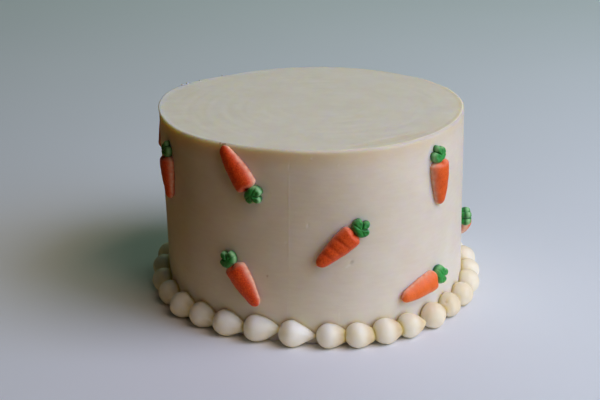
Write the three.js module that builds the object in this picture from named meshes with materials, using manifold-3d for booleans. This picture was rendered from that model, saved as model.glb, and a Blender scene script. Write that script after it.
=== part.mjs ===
// A small round carrot cake, uncut: straight sides and a flat top in one smooth coat of icing, a
// border of piped teardrop beads round its foot, and moulded sugar carrots stuck on its side.
// Millimetres, +Z up, origin at the centre of the base. The front of the cake faces -Y. Angles
// round the cake are in degrees from the front, growing towards +X.
import * as THREE from 'three';
import { mergeVertices } from 'three/addons/utils/BufferGeometryUtils.js';
import Module from 'manifold-3d';

// ---- Driving dimensions ------------------------------------------------------------------------

// The cake in its icing.
const CAKE_HEIGHT = 101.5;
const CAKE_FOOT_RADIUS = 80.0;
const CAKE_TOP_RADIUS = 80.6;
const CAKE_SIDES = 72;
// The foot stands this much further towards +X than the top does.
const FOOT_SHIFT = 1.9;
// The cake isn't quite round: each wave adds `size` times a cosine with `lobes` crests a turn, the
// first of them at the angle `crest`.
const OUTLINE_WAVES = [
  { lobes: 2, size: 0.5, crest: 82 },
  { lobes: 3, size: 0.9, crest: 15 },
  { lobes: 5, size: 0.8, crest: 30.5 },
  { lobes: 6, size: 0.4, crest: 5.5 },
];
// The icing is turned over at the top edge, in a narrow rounded lip that stands above the flat top
// and out past the side: its section from the side inwards, as millimetres in from the lip's outer
// edge and down from its crest. The last point is where the flat top begins.
const LIP_SECTION = [
  { inset: 0.5, down: 4.0 },
  { inset: 0, down: 0.7 },
  { inset: 0.3, down: 0.18 },
  { inset: 1.2, down: 0 },
  { inset: 2.6, down: 0.35 },
  { inset: 5.2, down: 0.5 },
];

// The piped border. A bead is a ball with a tail that the next bead's ball sits on.
const BEAD_RADIUS = 6.6;
const BEAD_SQUASH = 0.93;
const BEAD_TAIL = 12.4;
const BEAD_TAIL_DROP = 1.2;
const BEAD_STAND_OFF = 3.6;
const BEAD_SIDES = 10;
const BALL_RINGS = 3;
const TAIL_RINGS = 4;
// Towards its tip, at the share s of its length, a tail is (1 - s ^ full) ^ blunt of the ball's
// width, and its bends have grown to s ^ bend.
const TAIL_TAPER = { full: 1.7, blunt: 0.95, bend: 1.5 };

// The sugar carrots: a root with a flat back and a leaf of three lobes.
const ROOT_LENGTH = 24.2;
const ROOT_WIDTH = 10.9;
const ROOT_HEIGHT = 5.4;
const ROOT_WIDEST_AT = 1.2;
const ROOT_SIDES = 10;
// Sections along a root from its tip, as shares of its length. It is full width from `fullAt` on.
// Its tip would be `tipWidth` of that, but is rounded off over the share `tipRound`, and its
// shoulder over `shoulderRound`, squarely.
const ROOT_STATIONS = [0, 0.04, 0.14, 0.4, 0.7, 0.92, 0.98, 1];
const ROOT_TAPER = { tipWidth: 0.44, fullAt: 0.85, tipRound: 0.12, shoulderRound: 0.1, square: 2.4 };
const LEAF_LENGTH = 8.1;
const LEAF_HEIGHT = 4.3;
const LEAF_WIDEST_AT = 0.9;
const LEAF_MIDDLE = 3.2;
const LEAF_REACH = 5.2;
const LEAF_FOLD = 0.9;
const LEAF_SIDES = 22;
const CARROT_LENGTH = ROOT_LENGTH + LEAF_LENGTH;

// Pieces that touch keep this much air between them.
const GAP = 0.3;
// The body that cuts the backs of the decorations runs on this far below the base.
const CUTTER_DEPTH = 3;

// ---- Where the pieces are ----------------------------------------------------------------------

// Beads from the left side round the front to the right side. `angle` is the ball's place, `size`
// scales it, `out` moves it away from the cake and `drop` lowers the end of its tail. Some tails are
// short: `tail` scales their length. One of them broke off, and `swing` moves its end away from the
// cake.
const FRONT_BEADS = [
  { angle: -95.2, size: 0.98, out: 0.2, drop: 0.6 },
  { angle: -81.8, size: 0.96, out: 0.4, drop: 0.2 },
  { angle: -69.1, size: 0.98, out: -0.1, drop: 0.4 },
  { angle: -56.2, size: 1.02, out: -0.1, drop: 0.0 },
  { angle: -44.9, size: 1.0, out: -1.5, drop: 0.5 },
  { angle: -33.1, size: 1.01, out: -1.0, drop: 0.6 },
  { angle: -20.6, size: 1.04, out: -1.5, drop: -0.9 },
  { angle: -7.2, size: 1.04, out: -0.7, drop: 1.2 },
  { angle: 5.4, size: 0.96, out: -0.7, drop: 1.0 },
  { angle: 15.0, size: 0.97, out: 0.7, drop: 1.4 },
  { angle: 24.6, size: 1.0, out: 0.8, drop: 1.2 },
  { angle: 34.1, size: 0.98, out: 0.9, drop: -0.4, tail: 0.72, swing: 3.4 },
  { angle: 45.7, size: 1.02, out: 0.9, drop: 0.2, tail: 0.8 },
  { angle: 56.6, size: 0.99, out: 0.1, drop: 0.4, tail: 0.8 },
  { angle: 67.6, size: 0.97, out: 0.7, drop: 0.6, tail: 0.85 },
  { angle: 78.8, size: 1.0, out: 0.6, drop: 0.3 },
  { angle: 90.3, size: 0.95, out: 0.5, drop: 0.5 },
  { angle: 101.0, size: 1.04, out: 0.3, drop: 0.4 },
];
// The beads round the back, spaced out between the last of the front ones and the first. Each one
// strays by up to the share `angle` of its space, the share `size` of its size, `stray` in its `out`
// and `sag` in its `drop`.
const BACK_BEADS = { count: 13, angle: 0.12, size: 0.04, out: 0.4, stray: 0.6, drop: 0.4, sag: 0.8 };

// Carrots. `angle` and `height` are the middle of each one, `turn` leans its leaf end from straight
// up towards growing angles, `size` scales it, `wide` scales its root's width once more, and
// `leafTurn` bends the leaf on its root.
const CARROTS = [
  { angle: -25.7, height: 86.7, turn: 145.0, size: 1.02, wide: 1.05, leafTurn: -13 },
  { angle: -26.4, height: 32.2, turn: -33.3, size: 1.0, wide: 1.09, leafTurn: -17 },
  { angle: 10.2, height: 54.2, turn: 49.3, size: 1.02, wide: 1.03, leafTurn: 5 },
  { angle: 43.4, height: 23.0, turn: 79.8, size: 1.03, wide: 1.01, leafTurn: -8 },
  { angle: 50.9, height: 79.3, turn: -5.6, size: 0.99, wide: 1.17, leafTurn: -14 },
  { angle: -65.6, height: 76.6, turn: -4.6, size: 0.94, wide: 1.13, leafTurn: 6 },
  { angle: -108.3, height: 85.2, turn: -36.0, size: 0.98, wide: 1.05, leafTurn: 4 },
  { angle: 93.5, height: 32.4, turn: -52.0, size: 1.0, wide: 1.05, leafTurn: -6 },
  { angle: 130.0, height: 84.0, turn: 158.0, size: 1.02, wide: 1.07, leafTurn: -14 },
  { angle: 134.0, height: 27.5, turn: -24.0, size: 0.98, wide: 1.04, leafTurn: -9 },
  { angle: 168.0, height: 57.5, turn: 58.0, size: 1.0, wide: 1.02, leafTurn: 6 },
  { angle: -154.0, height: 82.0, turn: 12.0, size: 1.01, wide: 1.09, leafTurn: -12 },
  { angle: -158.0, height: 27.0, turn: 96.0, size: 0.99, wide: 1.03, leafTurn: 5 },
  { angle: -117.0, height: 33.0, turn: -48.0, size: 1.02, wide: 1.05, leafTurn: -4 },
];

// The leaf's edge, as its distance from the leaf's middle at some angles from straight on: a notch,
// the middle lobe, a notch, a side lobe, its foot, the middle of the foot, and the same back up.
const LEAF_EDGE = [
  { angle: -32, reach: 3.7 },
  { angle: 4, reach: 5.2 },
  { angle: 38, reach: 3.6 },
  { angle: 68, reach: 5.0 },
  { angle: 126, reach: 4.5 },
  { angle: 180, reach: 3.4 },
  { angle: 234, reach: 4.5 },
  { angle: 292, reach: 5.1 },
  { angle: 328, reach: 3.7 },
  { angle: 364, reach: 5.2 },
];
// The section of the leaf's dome from its lowest point, as shares of its reach and of its height.
const LEAF_SECTION = [[0, -1], [0.8, -0.6], [1, 0], [0.86, 0.55], [0.5, 0.88], [0, 1]];

// ---- Materials ---------------------------------------------------------------------------------

const icing = new THREE.MeshStandardMaterial({ color: 0xe6ddce, roughness: 0.5, metalness: 0 });
const pipedIcing = new THREE.MeshStandardMaterial({ color: 0xeee6d2, roughness: 0.45, metalness: 0 });
const orangeSugar = new THREE.MeshStandardMaterial({ color: 0xd0592a, roughness: 0.7, metalness: 0 });
const greenSugar = new THREE.MeshStandardMaterial({ color: 0x3d8a4c, roughness: 0.7, metalness: 0 });

// ---- Helpers -----------------------------------------------------------------------------------

const wasm = await Module();
wasm.setup();

const DEGREE = Math.PI / 180;
const OUTWARD = new THREE.Vector3(0, 0, 1);
const SAME_POINT = 1e-4;

// A repeatable number between -1 and 1 for piece `index`, different on each `channel`.
function uneven(index, channel) {
  const wave = Math.sin(index * 12.9898 + channel * 78.233) * 43758.5453;
  return 2 * (wave - Math.floor(wave)) - 1;
}

// A closed solid from a three.js geometry. `reshape`, where given, moves each shared vertex.
function solidFrom(geometry, reshape) {
  geometry.deleteAttribute('normal');
  geometry.deleteAttribute('uv');
  const shared = mergeVertices(geometry, SAME_POINT);
  const positions = shared.getAttribute('position');
  const corners = shared.getIndex();
  if (reshape) {
    const point = new THREE.Vector3();
    for (let i = 0; i < positions.count; i += 1) {
      point.fromBufferAttribute(positions, i);
      reshape(point);
      positions.setXYZ(i, point.x, point.y, point.z);
    }
  }
  const triangles = [];
  for (let i = 0; i < corners.count; i += 3) {
    const [a, b, c] = [corners.getX(i), corners.getX(i + 1), corners.getX(i + 2)];
    if (a !== b && b !== c && c !== a) {
      triangles.push(a, b, c);
    }
  }
  return new wasm.Manifold(new wasm.Mesh({
    numProp: 3,
    vertProperties: new Float32Array(positions.array),
    triVerts: new Uint32Array(triangles),
  }));
}

// A mesh of a solid. The solid is given in the cake's frame; the mesh keeps its own frame `pose`.
function meshFrom(name, solid, material, pose) {
  const { vertProperties, triVerts } = solid.getMesh();
  const geometry = new THREE.BufferGeometry();
  geometry.setAttribute('position', new THREE.BufferAttribute(vertProperties, 3));
  geometry.setIndex(new THREE.BufferAttribute(triVerts, 1));
  geometry.applyMatrix4(pose.clone().invert());
  geometry.computeVertexNormals();
  const mesh = new THREE.Mesh(geometry, material);
  mesh.name = name;
  mesh.applyMatrix4(pose);
  return mesh;
}

// The directions at an angle round the cake: away from its middle, and onwards round it.
function directions(angle) {
  const turn = angle * DEGREE;
  const outward = new THREE.Vector3(Math.sin(turn), -Math.cos(turn), 0);
  const onward = new THREE.Vector3(Math.cos(turn), Math.sin(turn), 0);
  return { outward, onward };
}

function numbered(name, i) {
  return `${name}_${String(i + 1).padStart(2, '0')}`;
}

// ---- The cake ----------------------------------------------------------------------------------

function outline(angle) {
  return OUTLINE_WAVES.reduce(
    (sum, wave) => sum + wave.size * Math.cos(wave.lobes * (angle - wave.crest) * DEGREE), 0);
}

function cakeRadius(angle, height) {
  const share = height / CAKE_HEIGHT;
  const shift = FOOT_SHIFT * (1 - share) * Math.sin(angle * DEGREE);
  return CAKE_FOOT_RADIUS + (CAKE_TOP_RADIUS - CAKE_FOOT_RADIUS) * share + shift + outline(angle);
}

// The iced cake, or with `grow` the slightly larger body that cuts the backs of its decorations,
// which runs on below the base. The lathe turns a profile of shares of the radius, and the radius
// at each angle and height then gives them their size.
function cakeSolid(grow) {
  const base = grow > 0 ? -CUTTER_DEPTH : 0;
  const { inset: flare } = LIP_SECTION[0];
  const { down: lipHeight } = LIP_SECTION[LIP_SECTION.length - 1];
  const profile = [new THREE.Vector2(0, base), new THREE.Vector2(1, base)];
  LIP_SECTION.forEach(({ inset, down }) => {
    profile.push(new THREE.Vector2(1 + (flare - inset) / CAKE_TOP_RADIUS, CAKE_HEIGHT - down + grow));
  });
  profile.push(new THREE.Vector2(0, CAKE_HEIGHT - lipHeight + grow));
  const geometry = new THREE.LatheGeometry(profile, CAKE_SIDES);
  geometry.rotateX(Math.PI / 2);
  return solidFrom(geometry, (point) => {
    const share = Math.hypot(point.x, point.y);
    if (share < SAME_POINT) {
      return;
    }
    const angle = Math.atan2(point.x, -point.y) / DEGREE;
    const height = Math.min(Math.max(point.z, 0), CAKE_HEIGHT);
    const radius = cakeRadius(angle, height) + grow;
    point.x *= radius;
    point.y *= radius;
  });
}

// ---- The piped border --------------------------------------------------------------------------

function allBeads() {
  const first = FRONT_BEADS[FRONT_BEADS.length - 1].angle;
  const open = FRONT_BEADS[0].angle + 360 - first;
  const back = Array.from({ length: BACK_BEADS.count }, (_, i) => ({
    angle: first + open * (i + 1 + BACK_BEADS.angle * uneven(i, 1)) / (BACK_BEADS.count + 1),
    size: 1 + BACK_BEADS.size * uneven(i, 2),
    out: BACK_BEADS.out + BACK_BEADS.stray * uneven(i, 3),
    drop: BACK_BEADS.drop + BACK_BEADS.sag * uneven(i, 4),
  }));
  return [...FRONT_BEADS, ...back];
}

// A bead's own frame: its origin at the ball's centre, +X along the border, +Y towards the cake.
function beadPose(bead) {
  const reach = cakeRadius(bead.angle, 0) + BEAD_STAND_OFF + bead.out;
  const { outward, onward } = directions(bead.angle);
  const upward = new THREE.Vector3(0, 0, 1);
  const pose = new THREE.Matrix4().makeBasis(onward, outward.clone().negate(), upward);
  return pose.setPosition(outward.multiplyScalar(reach).setZ(BEAD_RADIUS * bead.size * BEAD_SQUASH));
}

// The whole teardrop before it is cut, in the cake's frame: a ball, a tail that follows the cake's
// foot round, and a flat patch where it stands. With `grow` it is the slightly larger body that
// cuts the tail of the bead before it.
function beadSolid(bead, pose, grow) {
  const radius = BEAD_RADIUS * bead.size + grow;
  const tail = BEAD_TAIL * bead.size * (bead.tail ?? 1) + grow;
  const profile = [];
  for (let ring = 0; ring <= BALL_RINGS; ring += 1) {
    const turn = ring / BALL_RINGS * Math.PI / 2;
    profile.push(new THREE.Vector2(radius * Math.sin(turn), -radius * Math.cos(turn)));
  }
  for (let ring = 1; ring <= TAIL_RINGS; ring += 1) {
    const share = ring / TAIL_RINGS;
    const width = (1 - share ** TAIL_TAPER.full) ** TAIL_TAPER.blunt;
    profile.push(new THREE.Vector2(radius * width, tail * share));
  }
  const geometry = new THREE.LatheGeometry(profile, BEAD_SIDES);
  geometry.rotateZ(-Math.PI / 2);
  return solidFrom(geometry, (point) => {
    const bend = (Math.max(point.x, 0) / tail) ** TAIL_TAPER.bend;
    const roundTheCake = Math.max(point.x, 0) ** 2 / (2 * CAKE_FOOT_RADIUS);
    point.y += roundTheCake - (bead.swing ?? 0) * bend;
    point.z -= BEAD_TAIL_DROP * bead.drop * bend;
    point.applyMatrix4(pose);
    point.z = Math.max(point.z, -grow);
  });
}

function border(wall) {
  const group = new THREE.Group();
  const beads = allBeads();
  beads.forEach((bead, i) => {
    const next = beads[(i + 1) % beads.length];
    const pose = beadPose(bead);
    const cutter = beadSolid(next, beadPose(next), GAP);
    const solid = beadSolid(bead, pose, 0).subtract(cutter).subtract(wall);
    group.add(meshFrom(numbered('bead', i), solid, pipedIcing, pose));
  });
  return group;
}

// ---- The sugar carrots -------------------------------------------------------------------------

// A carrot's own frame: its origin on the icing at the carrot's middle, +Y towards the leaf end,
// +Z away from the cake.
function carrotPose(carrot) {
  const lean = carrot.turn * DEGREE;
  const { outward, onward } = directions(carrot.angle);
  const leafward = onward.multiplyScalar(Math.sin(lean)).setZ(Math.cos(lean));
  const across = leafward.clone().cross(outward);
  const pose = new THREE.Matrix4().makeBasis(across, leafward, outward);
  const place = outward.clone().multiplyScalar(cakeRadius(carrot.angle, carrot.height));
  return pose.setPosition(place.setZ(carrot.height));
}

// Half the root's width at a share of its length from the tip.
function rootHalfWidth(share) {
  const { tipWidth, fullAt, tipRound, shoulderRound, square } = ROOT_TAPER;
  const taper = tipWidth + (1 - tipWidth) * Math.sin(Math.min(share / fullAt, 1) * Math.PI / 2);
  const tip = Math.sqrt(1 - (1 - Math.min(share / tipRound, 1)) ** 2);
  const shoulder = Math.sqrt(1 - Math.max((share - 1 + shoulderRound) / shoulderRound, 0) ** square);
  return taper * tip * shoulder * ROOT_WIDTH / 2;
}

// The root, from its rounded tip to its square shoulder, as an oval body that the cake's wall cuts.
function rootSolid(carrot, pose, grow) {
  const profile = ROOT_STATIONS.map((share) => {
    const closed = share === 0 || share === 1;
    const radius = closed ? 0 : rootHalfWidth(share) * carrot.size * carrot.wide + grow;
    const along = (share * ROOT_LENGTH - CARROT_LENGTH / 2) * carrot.size + grow * (2 * share - 1);
    return new THREE.Vector2(radius, along);
  });
  const geometry = new THREE.LatheGeometry(profile, ROOT_SIDES);
  const flatten = (ROOT_HEIGHT - ROOT_WIDEST_AT) / (ROOT_WIDTH / 2) / carrot.wide;
  geometry.scale(1, 1, flatten);
  geometry.translate(0, 0, ROOT_WIDEST_AT);
  geometry.applyMatrix4(pose);
  return solidFrom(geometry);
}

// How far the leaf's edge is from its middle, in the direction `angle` from straight on. It rises
// fast out of a notch and is round at a lobe's end.
function leafReach(angle) {
  const after = LEAF_EDGE.findIndex((key) => key.angle > angle);
  const [from, to] = [LEAF_EDGE[after - 1], LEAF_EDGE[after]];
  const [low, high] = from.reach < to.reach ? [from, to] : [to, from];
  const share = (angle - low.angle) / (high.angle - low.angle);
  return low.reach + (high.reach - low.reach) * Math.sin(share * Math.PI / 2);
}

// The leaf: a dome with three lobes, lower along the folds between them.
function leafSolid(carrot, pose) {
  const profile = LEAF_SECTION.map(([x, y]) => new THREE.Vector2(x, y));
  const geometry = new THREE.LatheGeometry(profile, LEAF_SIDES);
  geometry.rotateX(Math.PI / 2);
  return solidFrom(geometry, (point) => {
    const angle = (Math.atan2(point.x, point.y) / DEGREE + 360) % 360;
    const reach = leafReach(angle);
    const fold = 1 - LEAF_FOLD * Math.hypot(point.x, point.y) * (LEAF_REACH - reach) / LEAF_REACH;
    point.x *= reach;
    point.y = point.y * reach + LEAF_MIDDLE;
    point.z = LEAF_WIDEST_AT + (LEAF_HEIGHT - LEAF_WIDEST_AT) * fold * point.z;
    point.applyAxisAngle(OUTWARD, -carrot.leafTurn * DEGREE);
    point.y += ROOT_LENGTH - CARROT_LENGTH / 2;
    point.multiplyScalar(carrot.size);
    point.applyMatrix4(pose);
  });
}

function carrots(wall) {
  const group = new THREE.Group();
  CARROTS.forEach((carrot, i) => {
    const name = numbered('carrot', i);
    const pose = carrotPose(carrot);
    const root = rootSolid(carrot, pose, 0).subtract(wall);
    const leaf = leafSolid(carrot, pose).subtract(rootSolid(carrot, pose, GAP)).subtract(wall);
    group.add(meshFrom(`${name}_root`, root, orangeSugar, pose));
    group.add(meshFrom(`${name}_leaf`, leaf, greenSugar, pose));
  });
  return group;
}

// ---- The whole ---------------------------------------------------------------------------------

const group = new THREE.Group();
const wall = cakeSolid(GAP);
group.add(meshFrom('cake', cakeSolid(0), icing, new THREE.Matrix4()));
group.add(border(wall));
group.add(carrots(wall));

export default group;
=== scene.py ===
import math

import bmesh
import bpy
import numpy as np
from mathutils import Matrix


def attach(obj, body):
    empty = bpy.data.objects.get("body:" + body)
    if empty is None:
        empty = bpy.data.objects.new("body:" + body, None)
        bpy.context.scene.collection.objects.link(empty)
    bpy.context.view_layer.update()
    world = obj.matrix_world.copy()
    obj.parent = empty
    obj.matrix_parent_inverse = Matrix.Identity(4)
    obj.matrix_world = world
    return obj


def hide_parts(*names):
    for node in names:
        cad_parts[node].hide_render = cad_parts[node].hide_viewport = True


# A small round carrot cake in a smooth coat of icing, with a piped border and moulded sugar carrots,
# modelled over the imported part. Lengths are in millimetres until a mesh or a material is made, and in
# metres for the floor, the camera and the lights. Angles go round the cake in degrees from its front
# (-Y), growing towards +X.

MM = 0.001
BODY = "root"

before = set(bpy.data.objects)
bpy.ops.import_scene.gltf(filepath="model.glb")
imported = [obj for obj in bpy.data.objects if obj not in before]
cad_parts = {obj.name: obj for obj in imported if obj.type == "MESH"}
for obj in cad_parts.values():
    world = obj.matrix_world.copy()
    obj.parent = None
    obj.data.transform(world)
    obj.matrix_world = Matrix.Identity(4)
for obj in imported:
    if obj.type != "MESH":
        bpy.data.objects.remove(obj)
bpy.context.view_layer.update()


def table(columns, *rows):
    """Rows of values with the columns' names."""
    return [dict(zip(columns.split(), row)) for row in rows]


# ---- What is read from the frame ----

# How many waves the cake's outline has, and how tall its lip is.
OUTLINE_ORDERS = 8
LIP_HEIGHT = 4.0
# The corners of a ring are this near its height, and this far or more from the middle line.
RING_NEAR = 0.05
RING_CLEAR = 1
# The middle of a bead's ball is this share of its radius above the floor.
BEAD_SQUASH = 0.93
# A root's length and width, how far the carrot's middle is from its tip, and how high its axis is.
ROOT_LENGTH = 24.2
ROOT_WIDTH = 10.9
ROOT_MIDDLE = 16.15
ROOT_AXIS = 1.2
# The widest corner of a root in the frame, as a share of half its width: the share of its widest ring,
# and how many degrees from the top that ring's widest corner is.
WIDEST_RING = 0.9894
WIDEST_TURN = 72
WIDEST_CORNER = WIDEST_RING * math.sin(math.radians(WIDEST_TURN))


def node_corners(name):
    """The corners of a node's mesh."""
    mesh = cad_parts[name].data
    flat = np.empty(3 * len(mesh.vertices), np.float32)
    mesh.vertices.foreach_get("co", flat)
    return flat.reshape(-1, 3).astype(float) / MM


def angle_of(points):
    return np.degrees(np.arctan2(points[..., 0], -points[..., 1]))


def outward_at(angle):
    turn = np.radians(angle)
    return np.stack([np.sin(turn), -np.cos(turn), 0 * turn], -1)


def onward_at(angle):
    turn = np.radians(angle)
    return np.stack([np.cos(turn), np.sin(turn), 0 * turn], -1)


def distance_out(points):
    return np.hypot(points[..., 0], points[..., 1])


def outline_waves(angle):
    turns = np.radians(angle)[..., None] * np.arange(1, OUTLINE_ORDERS + 1)
    return np.concatenate([np.ones(turns.shape[:-1] + (1,)), np.cos(turns), np.sin(turns)], -1)


def outline_of_ring(corners, height):
    """The cake's outline at a height, as the sizes of its waves, from the ring of corners there."""
    ring = corners[(abs(corners[:, 2] - height) < RING_NEAR) & (distance_out(corners) > RING_CLEAR)]
    return np.linalg.lstsq(outline_waves(angle_of(ring)), distance_out(ring), rcond=None)[0]


cake_corners = node_corners("cake")
CAKE_HEIGHT = cake_corners[:, 2].max()
SHOULDER = CAKE_HEIGHT - LIP_HEIGHT
foot_outline = outline_of_ring(cake_corners, 0)
shoulder_outline = outline_of_ring(cake_corners, SHOULDER)


def wall_radius(angle, height):
    """How far the icing's side is from the cake's middle line."""
    share = np.asarray(height / SHOULDER)[..., None]
    outline = foot_outline * (1 - share) + shoulder_outline * share
    return (outline_waves(angle) * outline).sum(-1)


def read_bead(name):
    """A bead's ball and place, from the corner at the back of its ball, which nothing cuts."""
    corners = node_corners(name)
    onward = onward_at(angle_of(corners.mean(0)))
    pole = corners[(corners @ onward).argmin()]
    radius = pole[2] / BEAD_SQUASH
    reach = math.sqrt(pole[0] ** 2 + pole[1] ** 2 - radius ** 2)
    angle = float(angle_of(pole)) + math.degrees(math.atan2(radius, reach))
    return {"name": name, "angle": angle, "radius": radius, "reach": reach}


def read_carrot(name):
    """A carrot's frame and size, from its root's two ends and the top of its leaf."""
    root = node_corners(name + "_root")
    leaf = node_corners(name + "_leaf")
    spans = np.linalg.norm(root[:, None] - root[None], axis=-1)
    ends = root[list(np.unravel_index(spans.argmax(), spans.shape))]
    far = np.linalg.norm(ends - leaf.mean(0), axis=-1)
    tip, shoulder = ends[far.argmax()], ends[far.argmin()]
    size = spans.max() / ROOT_LENGTH
    leafward = (shoulder - tip) / spans.max()
    middle = tip + leafward * ROOT_MIDDLE * size
    outward = outward_at(angle_of(middle))
    across = np.cross(leafward, outward)
    basis = np.stack([across, leafward, outward])
    wide = abs((root - middle) @ across).max() / (WIDEST_CORNER * ROOT_WIDTH / 2 * size)
    leaf_top = (leaf - shoulder) @ basis.T
    leaf_top = leaf_top[leaf_top[:, 2].argmax()]
    return {
        "name": name,
        "origin": middle - outward * ROOT_AXIS,
        "basis": basis,
        "size": size,
        "wide": wide,
        "leaf_turn": math.atan2(leaf_top[0], leaf_top[1]),
    }


# ---- Making meshes ----

# A ripple's waves: how many, how long as shares of the bumps' spacing, and the last phase they have.
RIPPLE_WAVES = 7
RIPPLE_LENGTHS = (1.2, 2.6)
RIPPLE_PHASE = 7


def uneven(index, channel):
    """A repeatable number between -1 and 1 for piece `index`, different on each `channel`."""
    wave = math.sin(index * 12.9898 + channel * 78.233) * 43758.5453
    return 2 * (wave - math.floor(wave)) - 1


def ripple(points, spacing, seed):
    """A smooth uneven number, mostly between -1 and 1, whose bumps are about `spacing` apart."""
    chance = np.random.default_rng(seed)
    total = 0
    for _ in range(RIPPLE_WAVES):
        direction = chance.normal(size=3)
        direction = direction / np.linalg.norm(direction)
        length = spacing * chance.uniform(*RIPPLE_LENGTHS)
        phase = chance.uniform(0, RIPPLE_PHASE)
        total = total + np.sin(points @ direction * 2 * math.pi / length + phase)
    return total / math.sqrt(RIPPLE_WAVES)


def bumps(points, layers, number=0):
    """Layers of ripples, each with its height, its spacing and a seed that `number` is added to."""
    return sum(height * ripple(points, spacing, seed + number) for height, spacing, seed in layers)


def near(distance, reach):
    """1 at no distance, falling smoothly to nothing over about twice `reach`."""
    return np.exp(-((distance / reach) ** 2))


def band(value, strength, place, reach):
    """A soft band of a tint, as strong as `strength` where `value` is at `place`."""
    return strength * near(value - place, reach)


def smooth_step(value, low, high):
    """0 up to `low` and 1 from `high` on, with a smooth rise between."""
    share = np.clip((value - low) / (high - low), 0, 1)
    return share * share * (3 - 2 * share)


def make_piece(name, material, replaced, rings, ends, tints=None):
    """A closed piece from rings of points and a single point at each end.

    `tints` holds, by name, a number for each point of the rings that the material reads.
    """
    count, around = rings.shape[:2]
    points = np.concatenate([ends[:1], rings.reshape(-1, 3), ends[1:]]) * MM
    first = 1 + np.arange(around)
    after = np.roll(first, -1)
    last = first + (count - 1) * around
    final = count * around + 1
    faces = [(0, int(b), int(a)) for a, b in zip(first, after)]
    for ring in range(count - 1):
        low = first + ring * around
        next_low = after + ring * around
        corners = (low, next_low, next_low + around, low + around)
        faces.extend(zip(*(corner.tolist() for corner in corners)))
    faces.extend((int(a), int(b), final) for a, b in zip(last, np.roll(last, -1)))
    mesh = bpy.data.meshes.new(name)
    mesh.from_pydata(points.tolist(), [], faces)
    for tint, values in (tints or {}).items():
        flat = values.reshape(count, around)
        padded = np.concatenate([[flat[0].mean()], flat.ravel(), [flat[-1].mean()]])
        mesh.attributes.new(tint, "FLOAT", "POINT").data.foreach_set("value", padded)
    finish_piece(name, mesh, material, replaced)


def finish_piece(name, mesh, material, replaced):
    """Turns the mesh's faces outward, smooths it, and puts it on the body."""
    shape = bmesh.new()
    shape.from_mesh(mesh)
    bmesh.ops.recalc_face_normals(shape, faces=shape.faces)
    for face in shape.faces:
        face.smooth = True
    shape.to_mesh(mesh)
    shape.free()
    mesh.materials.append(material)
    piece = bpy.data.objects.new(name, mesh)
    bpy.context.scene.collection.objects.link(piece)
    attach(piece, BODY)
    if replaced:
        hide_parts(replaced)


# ---- Materials ----


class Nodes:
    """A material's node tree, with short ways to add to it."""

    def __init__(self, name):
        self.material = bpy.data.materials.new(name)
        self.material.use_nodes = True
        self.tree = self.material.node_tree
        self.tree.nodes.clear()
        self.shader = self.add("ShaderNodeBsdfPrincipled")
        output = self.add("ShaderNodeOutputMaterial")
        self.tree.links.new(self.shader.outputs[0], output.inputs["Surface"])
        self.place = self.add("ShaderNodeTexCoord").outputs["Object"]

    def add(self, kind, **settings):
        node = self.tree.nodes.new(kind)
        for key, value in settings.items():
            setattr(node, key, value)
        return node

    def feed(self, socket, value):
        if isinstance(value, bpy.types.NodeSocket):
            self.tree.links.new(value, socket)
        else:
            socket.default_value = value

    def tint(self, name):
        return self.add("ShaderNodeAttribute", attribute_name=name).outputs["Fac"]

    def noise(self, size, detail=2.0, place=None):
        """Noise whose spots are about `size` millimetres across."""
        node = self.add("ShaderNodeTexNoise")
        self.feed(node.inputs["Vector"], place or self.place)
        node.inputs["Scale"].default_value = 1 / (size * MM)
        node.inputs["Detail"].default_value = detail
        return node.outputs["Fac"]

    def stretched(self, stretch):
        """The place on the object, scaled along each axis. More of it upright lays spots level."""
        node = self.add("ShaderNodeMapping")
        self.feed(node.inputs["Vector"], self.place)
        node.inputs["Scale"].default_value = stretch
        return node.outputs["Vector"]

    def math(self, operation, a, b):
        node = self.add("ShaderNodeMath", operation=operation)
        self.feed(node.inputs[0], a)
        self.feed(node.inputs[1], b)
        return node.outputs[0]

    def spread(self, value, low, high, to_low=0.0, to_high=1.0):
        """Moves `value` from the range low..high to another range."""
        node = self.add("ShaderNodeMapRange")
        self.feed(node.inputs["Value"], value)
        node.inputs["From Min"].default_value = low
        node.inputs["From Max"].default_value = high
        node.inputs["To Min"].default_value = to_low
        node.inputs["To Max"].default_value = to_high
        return node.outputs["Result"]

    def mix(self, share, a, b):
        """The colour `a`, turning into `b` as `share` goes from 0 to 1."""
        node = self.add("ShaderNodeMix", data_type="RGBA")
        self.feed(node.inputs["Factor"], share)
        self.feed(node.inputs["A"], a)
        self.feed(node.inputs["B"], b)
        return node.outputs["Result"]

    def bump(self, height, depth, before=None):
        """Relief `depth` millimetres deep, on top of the relief `before`."""
        node = self.add("ShaderNodeBump")
        node.inputs["Distance"].default_value = depth * MM
        self.feed(node.inputs["Height"], height)
        if before:
            self.feed(node.inputs["Normal"], before)
        return node.outputs["Normal"]

    def set(self, **inputs):
        for key, value in inputs.items():
            self.feed(self.shader.inputs[key.replace("_", " ")], value)

    def scatter(self, weight, depth, reach):
        """Lets light in: how much, how many millimetres deep, and how far in red, green and blue."""
        self.set(Subsurface_Weight=weight, Subsurface_Scale=depth * MM, Subsurface_Radius=reach)


def colour(red, green, blue):
    return (red, green, blue, 1.0)


# Most of a noise lies in the first range, and nearly all of it in the second.
NOISE_MIDDLE = (0.35, 0.65)
NOISE_RANGE = (0.3, 0.7)

ICING_PALE = colour(0.79, 0.76, 0.70)
ICING_CREAM = colour(0.765, 0.725, 0.65)
ICING_SMEAR = colour(0.86, 0.84, 0.80)
# What the mesh's tints turn the icing to, one after another: a painted glow under the lip with painted warm
# shade in the top's trough and by the beads, painted shade along the lip at the right, and real smears and
# crumbs.
ICING_TINTS = {
    "deep": colour(0.66, 0.52, 0.26),
    "painted_rim_shade": colour(0.58, 0.545, 0.52),
    "smear": ICING_SMEAR,
    "crumb": colour(0.30, 0.15, 0.055),
}


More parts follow.
